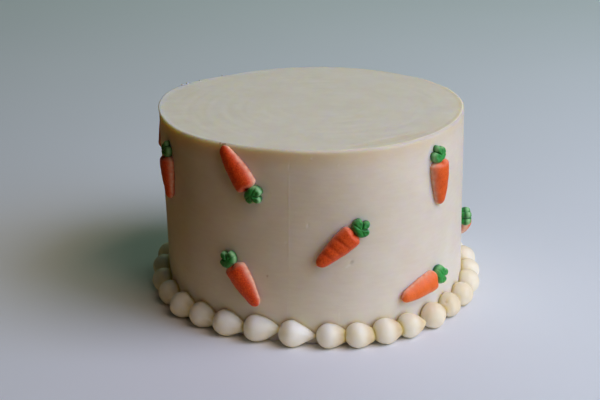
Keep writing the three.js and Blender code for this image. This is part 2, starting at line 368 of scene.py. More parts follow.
def icing_material():
    """Smooth cream icing, a little mottled and streaked, tinted as the mesh says with painted glow and
    shade, smears and crumbs.
    """
    nodes = Nodes("icing")
    mottle = nodes.spread(nodes.noise(size=14, detail=3), *NOISE_MIDDLE)
    streak = nodes.noise(size=9, detail=4, place=nodes.stretched((1, 1, 5)))
    base = nodes.mix(mottle, ICING_CREAM, ICING_PALE)
    base = nodes.mix(nodes.spread(streak, low=0.4, high=0.75, to_high=0.25), base, ICING_SMEAR)
    for tint, shade in ICING_TINTS.items():
        base = nodes.mix(nodes.tint(tint), base, shade)
    rough = nodes.spread(nodes.noise(size=6), *NOISE_RANGE, to_low=0.42, to_high=0.56)
    wave = nodes.noise(size=5, detail=3, place=nodes.stretched((1, 1, 4)))
    relief = nodes.bump(wave, depth=0.06)
    relief = nodes.bump(nodes.noise(size=0.9), depth=0.02, before=relief)
    nodes.set(Base_Color=base, Roughness=rough, Normal=relief, Specular_IOR_Level=0.4)
    nodes.scatter(weight=0.8, depth=9, reach=(1.0, 0.72, 0.18))
    return nodes.material


# The last colour is the warm yellow of painted shade where beads meet the side, each other and the floor.
PIPED_PALE = colour(0.97, 0.945, 0.84)
PIPED_CREAM = colour(0.96, 0.92, 0.79)
PIPED_GOLD = colour(0.62, 0.49, 0.33)
PIPED_PAINTED_SHADE = colour(0.97, 0.75, 0.28)


def piped_material():
    """Piped icing: smooth and soft, golden on some beads, with painted shade on the tails' side of most
    front beads and painted warm shade where beads meet.
    """
    nodes = Nodes("piped_icing")
    mottle = nodes.spread(nodes.noise(size=5, detail=3), *NOISE_MIDDLE)
    base = nodes.mix(mottle, PIPED_CREAM, PIPED_PALE)
    # Golden by the bead and, as painted shade, on the tails' side; then painted warm shade where beads
    # meet.
    base = nodes.mix(nodes.tint("gold"), base, PIPED_GOLD)
    base = nodes.mix(nodes.tint("deep"), base, PIPED_PAINTED_SHADE)
    rough = nodes.spread(nodes.noise(size=3), *NOISE_RANGE, to_low=0.38, to_high=0.50)
    relief = nodes.bump(nodes.noise(size=1.6, detail=3), depth=0.05)
    relief = nodes.bump(nodes.noise(size=0.5), depth=0.015, before=relief)
    nodes.set(Base_Color=base, Roughness=rough, Normal=relief, Specular_IOR_Level=0.35)
    nodes.scatter(weight=1.0, depth=14, reach=(1.0, 0.88, 0.65))
    return nodes.material


def sugar_material(name, pale, sheen_paint, full, dark):
    """Grainy moulded sugar: full to pale by the piece, which on carrots in front is painted light and
    shade; dark grain specks; painted shade in hollows; a painted sheen along the edges.
    """
    nodes = Nodes(name)
    grain = nodes.noise(size=0.75, detail=3)
    cloud = nodes.spread(nodes.noise(size=4.5), *NOISE_MIDDLE, to_high=0.15)
    # Paleness by the piece: painted light and shade on the carrots in front, random on those behind.
    base = nodes.mix(nodes.tint("pale"), full, pale)
    base = nodes.mix(cloud, base, pale)
    base = nodes.mix(nodes.spread(grain, low=0.54, high=0.72, to_high=0.8), base, pale)
    speck = nodes.spread(grain, low=0.47, high=0.30, to_high=0.6)
    strength = nodes.spread(nodes.tint("pale"), low=0, high=1, to_low=1, to_high=0.3)
    base = nodes.mix(nodes.math("MULTIPLY", speck, strength), base, dark)
    # Painted shade in grooves, creases and at the foot, then painted sheen along the edges.
    base = nodes.mix(nodes.tint("painted_shade"), base, dark)
    base = nodes.mix(nodes.tint("painted_sheen"), base, sheen_paint)
    rough = nodes.spread(grain, *NOISE_RANGE, to_low=0.42, to_high=0.58)
    relief = nodes.bump(grain, depth=0.14)
    relief = nodes.bump(nodes.noise(size=0.22), depth=0.04, before=relief)
    nodes.set(Base_Color=base, Roughness=rough, Normal=relief, Specular_IOR_Level=0.4)
    nodes.set(Sheen_Weight=0.35, Sheen_Roughness=0.3)
    nodes.scatter(weight=0.12, depth=0.8, reach=(1.0, 0.6, 0.4))
    return nodes.material


# Each sugar's pale and full colours, the pale of its painted sheen, and the dark of its grain specks and of
# its painted shade.
ORANGE = {
    "pale": colour(0.93, 0.17, 0.022),
    "sheen_paint": colour(0.93, 0.56, 0.43),
    "full": colour(0.76, 0.055, 0.002),
    "dark": colour(0.42, 0.024, 0.003),
}
GREEN = {
    "pale": colour(0.026, 0.38, 0.065),
    "sheen_paint": colour(0.36, 0.70, 0.38),
    "full": colour(0.007, 0.155, 0.025),
    "dark": colour(0.004, 0.055, 0.011),
}

FLOOR_PALE = colour(0.735, 0.805, 0.935)
FLOOR_PALER = colour(0.76, 0.83, 0.96)
CARD_BOUNCE = colour(0.92, 0.91, 0.92)
SHADED_CARD_BOUNCE = colour(0.92, 0.74, 0.46)
TABLE_BOUNCE = colour(0.30, 0.17, 0.05)
# How far out the card turns into the table, and where along X its light turns from shaded to full.
CARD_EDGE = (0.123, 0.131)
CARD_SHADE = (-0.11, 0.05)


def floor_material():
    """A pale floor. Its light back onto the cake is that of a white card on a wooden table."""
    nodes = Nodes("floor")
    mottle = nodes.spread(nodes.noise(size=400), *NOISE_RANGE)
    base = nodes.mix(mottle, FLOOR_PALE, FLOOR_PALER)
    out = nodes.add("ShaderNodeVectorMath", operation="LENGTH")
    nodes.feed(out.inputs[0], nodes.place)
    past_card = nodes.spread(out.outputs["Value"], *CARD_EDGE)
    along = nodes.add("ShaderNodeSeparateXYZ")
    nodes.feed(along.inputs[0], nodes.place)
    card = nodes.mix(nodes.spread(along.outputs["X"], *CARD_SHADE), SHADED_CARD_BOUNCE, CARD_BOUNCE)
    bounce = nodes.mix(past_card, card, TABLE_BOUNCE)
    ray = nodes.add("ShaderNodeLightPath").outputs
    bounced = nodes.math("MAXIMUM", ray["Is Diffuse Ray"], ray["Is Glossy Ray"])
    nodes.set(Base_Color=nodes.mix(bounced, base, bounce), Roughness=0.8)
    return nodes.material


# ---- The border ----

# A usual bead's radius and tail, and how far the tail's end comes down where its drop is 1.
BEAD_RADIUS = 6.6
BEAD_TAIL = 12.4
TAIL_DROP = 1.2
# The powers by which the tail stays full and ends blunt, and by which it bends, along its length.
TAIL_SHAPE = (1.7, 0.95)
TAIL_BEND = 1.5
# About the radius of the cake's side.
CAKE_CURVE = 80.0
# The short tails, as shares of the usual length, and how far the broken one's end stands out.
SHORT_TAILS = {12: 0.72, 13: 0.8, 14: 0.8, 15: 0.85}
BROKEN_BEAD = 12
BROKEN_SWING = 3.4
# The bead whose tail is drawn out thinner.
THIN_BEAD = 8
THIN_SHAPE = (1.4, 1.15)
# How far each tail's end drops, from the left side round the front to the right side, and behind.
FRONT_DROPS = (0.6, 0.2, 0.4, 0.0, 0.5, 0.6, -0.9, 1.2, 1.0, 1.4, 1.2, -0.4, 0.2, 0.4, 0.6, 0.3, 0.5, 0.4)
BACK_DROP = 0.4
BACK_SAG = 0.8
# How golden each bead's icing is, from pale at the left side to deeper at the right, and behind.
FRONT_GOLD = (0, 0, 0, 0, 0, 0, 0, 0, 0.02, 0.1, 0.22, 0.28, 0.42, 0.68, 0.64, 0.5, 0.5, 0.5)
BACK_GOLD = 0.15
# How much more golden the front beads from number FIRST_GOLD on are, on their tails' side: painted shade
# where the next ball shades them.
TAIL_PAINTED_SHADE = 0.85
FIRST_GOLD = 9
# Rings on half a bead's ball and on its tail, points round each, and how far it sinks into the side.
BALL_RINGS = 20
TAIL_RINGS = 26
BEAD_AROUND = 44
WALL_SINK = 0.3


def all_beads():
    names = sorted(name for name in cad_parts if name.startswith("bead_"))
    beads = [read_bead(name) for name in names]
    for i, bead in enumerate(beads):
        behind = i - len(FRONT_DROPS)
        bead["number"] = i + 1
        bead["drop"] = FRONT_DROPS[i] if behind < 0 else BACK_DROP + BACK_SAG * uneven(behind, 4)
        bead["gold"] = FRONT_GOLD[i] if behind < 0 else BACK_GOLD + BACK_GOLD * uneven(behind, 6)
        bead["tail_gold"] = TAIL_PAINTED_SHADE if behind < 0 and bead["number"] >= FIRST_GOLD else 0
        bead["swing"] = BROKEN_SWING if bead["number"] == BROKEN_BEAD else 0
        bead["tail"] = BEAD_TAIL * bead["radius"] / BEAD_RADIUS * SHORT_TAILS.get(i + 1, 1)
        bead["centre"] = outward_at(bead["angle"]) * bead["reach"] + [0, 0, bead["radius"] * BEAD_SQUASH]
        axes = [onward_at(bead["angle"]), -outward_at(bead["angle"]), np.array([0.0, 0.0, 1.0])]
        bead["basis"] = np.stack(axes)
    return beads


def tail_width(bead, share):
    """Half a tail's width at a share of its length, as a share of the ball's radius."""
    full, blunt = THIN_SHAPE if bead["number"] == THIN_BEAD else TAIL_SHAPE
    return (1 - np.clip(share, 0, 1) ** full) ** blunt


def tail_shift(bead, along):
    """How far a tail's middle line has bent towards the cake and dropped, `along` from the ball."""
    forward = np.maximum(along, 0)
    bend = (forward / bead["tail"]) ** TAIL_BEND
    inward = forward ** 2 / (2 * CAKE_CURVE) - bead["swing"] * bend
    return inward, -TAIL_DROP * bead["drop"] * bend


def bead_distance(bead, points):
    """About how far points are outside a bead."""
    local = (points - bead["centre"]) @ bead["basis"].T
    inward, drop = tail_shift(bead, np.minimum(local[..., 0], bead["tail"]))
    from_line = np.hypot(local[..., 1] - inward, local[..., 2] - drop)
    ball = np.linalg.norm(local, axis=-1) - bead["radius"]
    tail = from_line - bead["radius"] * tail_width(bead, local[..., 0] / bead["tail"])
    past = np.maximum(local[..., 0] - bead["tail"], 0)
    return np.where(local[..., 0] < 0, ball, np.hypot(np.maximum(tail, 0), past))


# Marks on single beads: where each is in the bead's own frame (onwards, inwards and up), how far it
# reaches each of those ways, and how deep it is.
BEAD_MARKS = table(
    "bead place reach depth",
    (5, (7.3, -2.3, 2.5), (1.2, 0.9, 0.45), 0.35),
    (7, (9.6, 1.0, 1.6), (1.0, 1.5, 0.6), -0.5),
    (9, (5.5, -4.3, -1.6), (3.0, 1.2, 0.45), -0.4),
    (9, (5.9, -4.0, -0.5), (3.0, 1.2, 0.4), 0.3),
    (14, (-4.9, -0.9, 4.3), (1.0, 0.9, 1.3), 1.2),
    (16, (-6.1, -1.8, 0.1), (0.8, 0.6, 0.7), 0.55),
    (12, (4.8, -5.0, 0.8), (1.2, 1.4, 1.6), -0.7),
    (12, (2.2, -6.2, -0.6), (1.2, 1.4, 0.8), 0.4),
)
# Soft bumps: how high, how far apart, and their seed.
BEAD_BUMPS = ((0.11, 6.0, 100), (0.03, 2.2, 200))
# The nozzle's drag lines along the tail: how many, how high, and the bumps by which they wander.
DRAG_LINES = 7
DRAG_HEIGHT = 0.10
DRAG_WANDER = ((0.9, 3.0, 700),)


def bead_relief(bead, points, share, turn):
    """How far a bead's skin stands out of its plain teardrop: soft bumps, drag lines and marks."""
    number = bead["number"]
    wander = bumps(points * [0.2, 1, 1], DRAG_WANDER, number)
    drag = DRAG_HEIGHT * np.sin(DRAG_LINES * turn + wander) * smooth_step(share, 0.25, 0.7)
    total = bumps(points, BEAD_BUMPS, number) + drag
    for mark in BEAD_MARKS:
        if mark["bead"] == number:
            away = (points - mark["place"]) / mark["reach"]
            total = total - mark["depth"] * near(np.linalg.norm(away, axis=-1), 1)
    return total * (1 - smooth_step(share, 0.85, 1.0))


def rest_on_wall(points, sink):
    """Points moved out of the cake's side, but for `sink` millimetres, and up out of the floor."""
    angle = angle_of(points)
    radius = distance_out(points)
    least = wall_radius(angle, np.clip(points[..., 2], 0, SHOULDER)) - sink
    pushed = np.maximum(radius, least) / radius
    moved = points * np.stack([pushed, pushed, np.ones_like(pushed)], -1)
    moved[..., 2] = np.maximum(moved[..., 2], 0)
    return moved


def bead_skin(bead):
    """The rings of a bead's skin in its own frame, from its back on, and how far along the tail each
    point is."""
    radius = bead["radius"]
    back = np.linspace(0, 1, BALL_RINGS + 1)[1:] * math.pi / 2
    share = np.linspace(0, 1, TAIL_RINGS + 1)[1:-1]
    along = np.concatenate([-radius * np.cos(back), bead["tail"] * share])
    width = np.concatenate([np.sin(back), tail_width(bead, share)]) * radius
    turn = np.linspace(0, 2 * math.pi, BEAD_AROUND, endpoint=False)
    inward, drop = tail_shift(bead, along)
    local = np.stack([
        along[:, None] + 0 * turn,
        inward[:, None] + width[:, None] * np.cos(turn),
        drop[:, None] + width[:, None] * np.sin(turn),
    ], -1)
    tail_share = np.concatenate([0 * back, share])[:, None] + 0 * turn
    outward = np.stack([
        np.minimum(local[..., 0], 0) / radius,
        np.cos(turn) + 0 * tail_share,
        np.sin(turn) + 0 * tail_share,
    ], -1)
    return local + outward * bead_relief(bead, local, tail_share, turn)[..., None], tail_share


# How far the painted warm shade reaches from the cake, another bead and the floor, and how strong it is by
# the floor, at the tail's end and at its fullest.
WALL_DEEP_REACH = 1.5
BEAD_DEEP_REACH = 1.6
FLOOR_DEEP_REACH = 0.9
FLOOR_DEEP = 0.8
TAIL_DEEP = 0.4
FULL_DEEP = 0.85
# How much less golden a ball's back is.
BACK_LESS_GOLD = 0.45


def bead_tints(bead, neighbours, rings, onward, tail_share):
    """Where a bead has painted warm shade, and how golden it is, partly as painted shade on its tail's
    side. `onward` is in the ball's radii.
    """
    # Painted warm shade where the bead meets the side, its neighbours and the floor, and towards its tail's
    # end.
    gap = distance_out(rings) - wall_radius(angle_of(rings), rings[..., 2])
    deep = near(np.maximum(gap, 0), WALL_DEEP_REACH)
    for neighbour in neighbours:
        gap = np.maximum(bead_distance(neighbour, rings), 0)
        deep = np.maximum(deep, near(gap, BEAD_DEEP_REACH))
    deep = np.maximum(deep, FLOOR_DEEP * near(rings[..., 2], FLOOR_DEEP_REACH))
    deep = np.maximum(deep, TAIL_DEEP * smooth_step(tail_share, 0.3, 0.9))
    gold = bead["gold"] * (1 - BACK_LESS_GOLD * smooth_step(-onward, 0, 0.9))
    # Painted shade on the tail's side.
    gold = gold + bead["tail_gold"] * smooth_step(onward, -0.1, 1.0)
    return {"deep": FULL_DEEP * deep, "gold": gold}


def make_bead(bead, neighbours, material):
    local, tail_share = bead_skin(bead)
    rings = rest_on_wall(bead["centre"] + local @ bead["basis"], WALL_SINK)
    tip = np.array([bead["tail"], *tail_shift(bead, np.array(bead["tail"]))])
    ends = np.stack([[-bead["radius"], 0, 0], tip]) @ bead["basis"] + bead["centre"]
    ends[:, 2] = np.maximum(ends[:, 2], 0)
    tints = bead_tints(bead, neighbours, rings, local[..., 0] / bead["radius"], tail_share)
    name = bead["name"]
    make_piece(name + "_piped", material, name, rings, ends, tints)


# ---- The sugar carrots ----

# How pale each carrot in front is, which is painted light and shade, paler where it is lit; those behind,
# more or less; and how much paler their leaves.
FRONT_PAINTED_LIGHT = (0.0, 0.0, 0.3, 1.0, 0.6, 0.0, 0.0, 0.6)
BACK_SHADE = 0.3
LEAF_PALER = 0.2
# How strong the painted sheen is along the edges of each carrot in front, and of those behind, which differ
# by so much.
FRONT_SHEEN_PAINT = (1.0, 1.0, 0.3, 0.7, 0.9, 0.8, 0.8, 1.0)
BACK_SHEEN_PAINT = 0.8
BACK_SHEEN_PAINT_UNEVEN = 0.2
# How far a carrot's edges are pressed into the side.
SUGAR_SINK = 0.25

# A root's height, its tip's share of the width, the share of its length at which it is full, the
# lengths of its rounded tip and shoulder as shares, and how square the shoulder is.
ROOT_HEIGHT = 5.4
TIP_WIDTH = 0.44
FULL_AT = 0.85
TIP_ROUND = 0.12
SHOULDER_ROUND = 0.12
SHOULDER_SQUARE = 2.4
ROOT_RINGS = 72
ROOT_AROUND = 52
ROOT_BUMPS = ((0.10, 5.0, 300), (0.03, 1.3, 350))
# Grooves pressed across a root: the share of its length from the tip, and how deep.
GROOVES = ((0.13, 0.35), (0.30, 0.9), (0.49, 0.8), (0.69, 1.0))
GROOVE_DEPTH = 0.45
GROOVE_REACH = 0.038
FAINT_GROOVES = 0.22
GROOVED_CARROT = 3
# How far grooves lean and bow, how deep they are in the middle, and how much less towards the right.
GROOVE_LEAN = 0.03
GROOVE_BOW = 0.02
GROOVE_MIDDLE = 0.65
GROOVE_SLOPE = 0.35
# The dip in a root's shoulder where its leaf starts: its width, and how far in and down it goes.
DIP_WIDE = 0.42
DIP_IN = 0.7
DIP_DOWN = 0.6
# Bands of tint by their strength, place and reach: painted sheen along the root's widest line, which is
# uneven, and round its shoulder, and painted shade at its foot. Grooves and dip get painted shade too.
PAINTED_SHEEN_EDGE = (0.9, 0, 0.42)
PAINTED_SHEEN_UNEVEN = ((0.25, 1.6, 390),)
PAINTED_SHEEN_SHOULDER = (0.3, 0.95, 0.04)
PAINTED_SHADE_FOOT = (0.75, -0.55, 0.15)
PAINTED_SHADE_GROOVE = 1.3
PAINTED_SHADE_DIP = 0.25

# A leaf's height, how high it is widest, how far out its middle is, and the powers that make its edge
# square and its section full.
LEAF_HEIGHT = 4.3
LEAF_WIDEST_AT = 0.9
LEAF_MIDDLE = 3.2
LEAF_SQUARE = 4.4
LEAF_BULGE = 0.6
LEAF_RINGS = 46
LEAF_AROUND = 138
LEAF_BUMPS = ((0.12, 1.8, 400),)
# How far the leaf's edge is from its middle, at angles from straight on.
LEAF_EDGE = (
    (-33, 2.9), (3, 5.2), (38, 2.8), (70, 5.1), (128, 4.5),
    (180, 3.4), (232, 4.5), (291, 5.1), (327, 2.9), (363, 5.2),
)
# The creases that part its lobes: each one's angle, where it starts as a share of the way out, and how
# deep it is as a share of the leaf's height.
LEAF_CREASES = ((-33, 0.0, 0.36), (38, 0.0, 0.36), (104, 0.25, 0.2), (-106, 0.25, 0.2))
# How far a crease reaches, how sharply it ends, and the share of its depth that it starts with.
CREASE_REACH = 0.46
CREASE_SHARP = 1.3
CREASE_START = 0.55
# The shallow hollow on each lobe: its angle, and how far out it is.
LOBE_HOLLOWS = ((3, 3.1), (70, 2.9), (-70, 2.9))
LOBE_HOLLOW_DEPTH = 0.2
LOBE_HOLLOW_REACH = 1.15
# The leaf's bands of painted sheen, and of painted shade at its foot.
LEAF_PAINTED_SHEEN = (0.75, 0.35, 0.3)
LEAF_PAINTED_SHADE_FOOT = (0.8, -0.2, 0.25)


def carrot_points(carrot, local):
    return carrot["origin"] + local @ carrot["basis"]


def root_half_width(share):
    """Half a root's width at a share of its length from the tip."""
    taper = TIP_WIDTH + (1 - TIP_WIDTH) * np.sin(np.minimum(share / FULL_AT, 1) * math.pi / 2)
    tip = np.sqrt(1 - (1 - np.minimum(share / TIP_ROUND, 1)) ** 2)
    past = np.maximum((share - 1 + SHOULDER_ROUND) / SHOULDER_ROUND, 0)
    return taper * tip * np.sqrt(1 - past ** SHOULDER_SQUARE) * ROOT_WIDTH / 2


def root_grooves(carrot, share, side):
    """How deep the grooves are: each is deepest left of the middle, and bends a little."""
    strength = 1 if carrot["number"] == GROOVED_CARROT else FAINT_GROOVES
    total = 0
    for place, depth in GROOVES:
        bent = place + GROOVE_LEAN * side - GROOVE_BOW * side ** 2
        total = total + depth * near(share - bent, GROOVE_REACH) * (GROOVE_MIDDLE - GROOVE_SLOPE * side)
    return strength * GROOVE_DEPTH * total


def make_root(carrot, material):
    size = carrot["size"]
    share = (1 - np.cos(np.linspace(0, 1, ROOT_RINGS + 2)[1:-1, None] * math.pi)) / 2
    turn = np.linspace(0, 2 * math.pi, ROOT_AROUND, endpoint=False)
    half = root_half_width(share) * size * carrot["wide"]
    flatten = (ROOT_HEIGHT - ROOT_AXIS) / (ROOT_WIDTH / 2) / carrot["wide"]
    side = np.cos(turn) + 0 * share
    rise = np.sin(turn) + 0 * share
    along = (share * ROOT_LENGTH - ROOT_MIDDLE) * size + 0 * side
    local = np.stack([half * side, along, ROOT_AXIS + half * rise * flatten], -1)
    grooves = root_grooves(carrot, share, side) * smooth_step(rise, -0.1, 0.5)
    soft = bumps(local, ROOT_BUMPS, carrot["number"])
    dip = near(side, DIP_WIDE) * smooth_step(share, 0.84, 1.0)
    local[..., 1] -= DIP_IN * size * dip
    local[..., 2] -= grooves + DIP_DOWN * dip * smooth_step(rise, 0, 0.7)
    local[..., 0] += side * soft
    local[..., 2] += np.maximum(rise, 0) * soft
    rings = rest_on_wall(carrot_points(carrot, local), SUGAR_SINK)
    ends = np.array([[0, length * size, ROOT_AXIS] for length in (-ROOT_MIDDLE, ROOT_LENGTH - ROOT_MIDDLE)])
    # Painted sheen along the widest line and round the shoulder, and painted shade in the grooves, the dip
    # and at the foot.
    painted_sheen = band(rise, *PAINTED_SHEEN_EDGE) * (1 + bumps(local, PAINTED_SHEEN_UNEVEN, carrot["number"]))
    painted_sheen = carrot["sheen_paint"] * (painted_sheen + band(share, *PAINTED_SHEEN_SHOULDER) * (1 - dip))
    painted_shade = grooves * PAINTED_SHADE_GROOVE + band(rise, *PAINTED_SHADE_FOOT) + PAINTED_SHADE_DIP * dip
    tints = {"painted_shade": painted_shade, "painted_sheen": painted_sheen, "pale": carrot["pale"] + 0 * rise}
    make_sugar(carrot["name"] + "_root", material, rings, carrot_points(carrot, ends), tints)


def make_sugar(node, material, rings, ends, tints):
    tints = {name: np.clip(values, 0, 1) for name, values in tints.items()}
    make_piece(node + "_sugar", material, node, rings, ends, tints)


def leaf_reach(angle):
    """How far the leaf's edge is from its middle, in a direction in degrees from straight on."""
    angles, reaches = np.array(LEAF_EDGE, float).T
    wrapped = np.mod(angle - angles[0], 360) + angles[0]
    after = np.clip(np.searchsorted(angles, wrapped, "right"), 1, len(angles) - 1)
    low_first = reaches[after - 1] < reaches[after]
    low = np.where(low_first, after - 1, after)
    high = np.where(low_first, after, after - 1)
    share = np.clip((wrapped - angles[low]) / (angles[high] - angles[low]), 0, 1)
    return reaches[low] + (reaches[high] - reaches[low]) * np.sin(share * math.pi / 2)


def leaf_creases(across, onward):
    """How deep the leaf's top is creased, as a share of its height."""
    total = 0
    for angle, start, depth in LEAF_CREASES:
        reach = float(leaf_reach(np.array([angle]))[0])
        turn = math.radians(angle)
        along = across * math.sin(turn) + onward * math.cos(turn)
        beside = across * math.cos(turn) - onward * math.sin(turn)
        past = along - np.clip(along, start * reach, reach)
        away = np.hypot(past, beside)
        deeper = CREASE_START + (1 - CREASE_START) * np.clip(along / reach, 0, 1)
        total = np.maximum(total, depth * deeper * np.exp(-((away / CREASE_REACH) ** CREASE_SHARP)))
    for angle, out in LOBE_HOLLOWS:
        turn = math.radians(angle)
        away = np.hypot(across - out * math.sin(turn), onward - out * math.cos(turn))
        total = total + LOBE_HOLLOW_DEPTH * near(away, LOBE_HOLLOW_REACH)
    return total


def make_leaf(carrot, material):
    size = carrot["size"]
    climb = np.linspace(-1, 1, LEAF_RINGS + 2)[1:-1] * math.pi / 2
    out = (np.cos(climb) ** LEAF_BULGE)[:, None]
    rise = np.sin(climb)[:, None]
    turn = np.linspace(0, 2 * math.pi, LEAF_AROUND, endpoint=False)
    reach = leaf_reach(np.degrees(turn))
    across = np.sin(turn) * reach * out
    onward = np.cos(turn) * reach * out
    creased = leaf_creases(across, onward)
    edge = np.sqrt(1 - out ** LEAF_SQUARE)
    height = np.where(rise > 0, (1 - creased) * edge, rise) * (LEAF_HEIGHT - LEAF_WIDEST_AT)
    soft = bumps(np.stack([across, onward, 0 * across], -1), LEAF_BUMPS, carrot["number"])
    height = height + soft * np.maximum(rise, 0)
    local = np.stack([across, onward + LEAF_MIDDLE, LEAF_WIDEST_AT + height], -1)
    middle = local[-1].mean(0)
    turned = np.array(Matrix.Rotation(-carrot["leaf_turn"], 3, "Z"))
    shift = np.array([0, ROOT_LENGTH - ROOT_MIDDLE, 0])
    rings = rest_on_wall(carrot_points(carrot, (local @ turned.T + shift) * size), SUGAR_SINK)
    ends = np.stack([rings[0].mean(0), carrot_points(carrot, (turned @ middle + shift) * size)])
    # Painted sheen along the rim but for the creases, and painted shade in the creases, the lobes' hollows
    # and at the foot.
    painted_sheen = carrot["sheen_paint"] * band(rise, *LEAF_PAINTED_SHEEN) * (1 - smooth_step(creased, 0.1, 0.3))
    painted_shade = smooth_step(creased, 0.06, 0.45) * (rise > 0) + band(rise, *LEAF_PAINTED_SHADE_FOOT)
    tints = {"painted_shade": painted_shade, "painted_sheen": painted_sheen, "pale": carrot["pale"] + LEAF_PALER + 0 * painted_shade}
    make_sugar(carrot["name"] + "_leaf", material, rings, ends, tints)


def all_carrots():
    names = sorted({name.rsplit("_", 1)[0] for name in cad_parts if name.startswith("carrot_")})
    carrots = [read_carrot(name) for name in names]
    for i, carrot in enumerate(carrots):
        behind = i - len(FRONT_PAINTED_LIGHT)
        back_shade = BACK_SHADE + BACK_SHADE * uneven(behind, 5)
        back_sheen_paint = BACK_SHEEN_PAINT + BACK_SHEEN_PAINT_UNEVEN * uneven(behind, 7)
        carrot["number"] = i + 1
        # In front, paleness is painted light and shade, and behind it differs at random; the edges get
        # painted sheen.
        carrot["pale"] = FRONT_PAINTED_LIGHT[i] if behind < 0 else back_shade
        carrot["sheen_paint"] = FRONT_SHEEN_PAINT[i] if behind < 0 else back_sheen_paint
    return carrots


# ---- The iced cake ----

# The icing is finely divided this far to each side of the front and coarsely elsewhere, in degrees.
FINE_SPAN = 36.0
FINE_STEP = 0.28
COARSE_STEP = 1.2
SIDE_ROWS = 110
LIP_ROWS = 22
TOP_ROWS = 56

# The lip's section in front and at the right, and its sharper one at the left and behind: millimetres
# in from its outer edge and down from its crest.
LIP_SECTION = (
    (0.5, 4.0), (0.42, 2.0), (0.48, 1.15), (0.78, 0.5), (1.35, 0.12), (2.1, 0.12), (3.3, 0.38), (5.2, 0.42),
)
SHARP_LIP_SECTION = (
    (0.5, 4.0), (0.3, 1.5), (0.05, 0.7), (0.25, 0.2), (0.8, 0.06), (1.7, 0.22), (3.2, 0.38), (5.2, 0.42),
)
# Where the lip is roundest, and how far it stands out of the side.
ROUND_LIP_ANGLE = 35
LIP_FLARE = 0.5
# How uneven the crest is, and how far it sinks and its bumps are in shares of that.
LIP_UNEVEN = 0.16
LIP_SINK = 0.9
LIP_BUMPS = ((0.6, 11, 3), (0.3, 3.5, 6))

# The strokes that smoothed the top: their turning centre, depth and bumps, and how much they change
# along their way, as a share of how much they do across it.
STROKE_CENTRE = (9.7, -0.5)
STROKE_DEPTH = 0.065
STROKE_BUMPS = ((1, 2.6, 7), (0.6, 6.76, 8))
STROKE_DRAWN_OUT = 0.14
# A stroke's edge on the top: its angles and how far in from the lip it is, its height, width and bumps,
# and over how many degrees it rises and ends.
RIDGE_PATH = ((6.5, 5.3), (12.4, 7.5), (21.8, 12.2), (29.0, 13.4), (36.7, 12.9), (49.0, 9.4), (58.0, 6.0))
RIDGE_HEIGHT = 0.15
RIDGE_WIDTH = 0.7
RIDGE_UNEVEN = ((0.3, 6, 9),)
RIDGE_RISES = 10
RIDGE_ENDS = 12
# The trough between that edge and the lip, and how far before the edge it ends.
TROUGH_DEPTH = 0.14
TROUGH_END = 2.5
# The power of the way out by which the level top blends into the lip.
TOP_BLEND = 8

# The side's soft bumps, the ones that lie level, and how near its ends they fade.
SIDE_BUMPS = ((0.10, 26, 1), (0.03, 9, 2))
LEVEL_BUMPS = ((0.02, 9, 4),)
SIDE_FADE = 3
# The line up the side where the scraper was lifted off, and how whole and how broken it is on its way.
SCRAPE = {"angle": -8.4, "lean": 0.010, "height": 0.11, "width": 0.38, "whole": 0.55}
SCRAPE_BREAKS = ((0.45, 7, 5),)
# Small marks on the side: where each is, how far it reaches across and along, how much its long way
# leans from upright towards growing angles, how deep it is, and what it shows.
WALL_MARKS = table(
    "angle height reach lean depth smear crumb",
    (-16.5, 34.6, (0.45, 0.4), 0, 0.12, 0, 1.0),
    (13.4, 43.4, (0.55, 1.15), 60, 0.55, 0, 0.3),
    (12.1, 41.4, (0.45, 1.7), 62, -0.12, 0.9, 0),
    (-1.5, 63.3, (0.55, 0.7), 30, 0.3, 0.5, 0),
    (-2.0, 63.0, (0.3, 0.75), 20, -0.2, 0.9, 0),
    (-7.9, 93.0, (0.35, 1.7), 4, 0.16, 0.8, 0),
    (-9.3, 54.0, (0.35, 0.8), 30, 0.14, 0.8, 0),
    (-9.0, 44.0, (0.3, 1.6), 6, -0.08, 0.4, 0),
    (-9.2, 18.0, (0.35, 5.0), 2, -0.09, 0.35, 0),
    (9.1, 14.0, (0.4, 3.4), 0, -0.07, 0.25, 0),
    (-0.3, 97.6, (0.5, 0.4), 0, -0.18, 0.7, 0),
    (8.8, 93.6, (0.45, 0.45), 0, -0.14, 0.7, 0),
    (15.5, 88.0, (0.4, 0.6), 50, 0.1, 0.5, 0),
    (-28.2, 74.5, (0.3, 1.2), 70, 0.12, 0.35, 0),
    (-14.6, 78.3, (0.35, 0.35), 0, 0.1, 0, 0.35),
)
# Specks of crumb on the lip: their angles, and how far down from its crest.
LIP_SPECKS = ((-33.9, 0.7), (-32.6, 0.9), (-31.9, 0.6))
SPECK_REACH = 0.42

# How deep the icing's yellow is in the band under the lip, a painted glow, and how much that differs round
# it: more at the left, where the side is in shade.
BAND_DEEP = 0.32
BAND_UNEVEN = 0.18
# How deep it is in the top's trough and behind the beads, where it is painted shade, how far it reaches
# from those, and up to how many of their radii.
TROUGH_DEEP = 0.22
FOOT_DEEP = 0.6
FOOT_DEEP_REACH = 1.3
FOOT_HEIGHT = 3.2


def lip_curve(section, share):
    """A section of the lip at shares of the way along it: a smooth curve through its points."""
    section = np.array(section)
    where = share * (len(section) - 1)
    i = np.clip(where.astype(int), 0, len(section) - 2)
    t = (where - i)[:, None]
    before = section[np.maximum(i - 1, 0)]
    after = section[np.minimum(i + 2, len(section) - 1)]
    a, b = section[i], section[i + 1]
    slope_a, slope_b = (b - before) / 2, (after - a) / 2
    curve = (2 * t ** 3 - 3 * t ** 2 + 1) * a + (t ** 3 - 2 * t ** 2 + t) * slope_a
    curve = curve + (3 * t ** 2 - 2 * t ** 3) * b + (t ** 3 - t ** 2) * slope_b
    return curve.T


